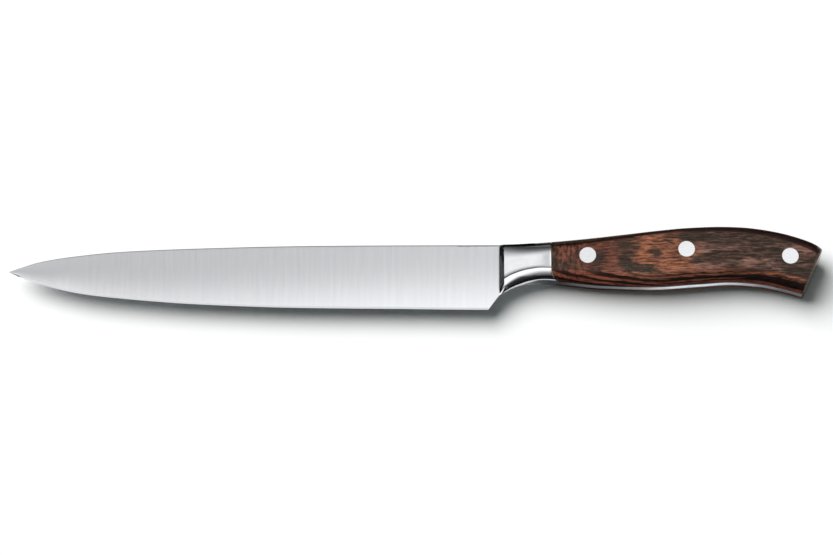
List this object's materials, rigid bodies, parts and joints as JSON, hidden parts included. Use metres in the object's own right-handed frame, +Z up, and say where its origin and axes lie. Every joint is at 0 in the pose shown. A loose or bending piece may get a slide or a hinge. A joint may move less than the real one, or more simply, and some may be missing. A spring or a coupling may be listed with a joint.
{
  "type": "carving knife",
  "caption": "Forged carving knife with a narrow pointed blade, smooth steel bolster, full tang and flush-riveted laminated wood scales.",
  "frame": {"origin": "under the middle of the knife, on the surface that it lies on, right side down", "axes": "+X from the tip to the butt, +Y from the cutting edge to the spine, +Z up through the thickness, out of the left side"},
  "size_m": [0.3312, 0.0344, 0.019],
  "materials": {
    "forged_steel": "blade ground satin with fine lines across it from spine to edge; bolster and tang polished bright",
    "laminated_wood": "resin-stabilised laminated maple, reddish brown to near black, smooth satin",
    "rivet_steel": "finely sanded flush with the wood"
  },
  "bodies": {
    "root": {"forged_blade": "forged_steel", "left_scale": "laminated_wood", "right_scale": "laminated_wood", "front_rivet_post": "rivet_steel", "front_rivet_sleeve": "rivet_steel", "middle_rivet_post": "rivet_steel", "middle_rivet_sleeve": "rivet_steel", "rear_rivet_post": "rivet_steel", "rear_rivet_sleeve": "rivet_steel"}
  },
  "joints": []
}
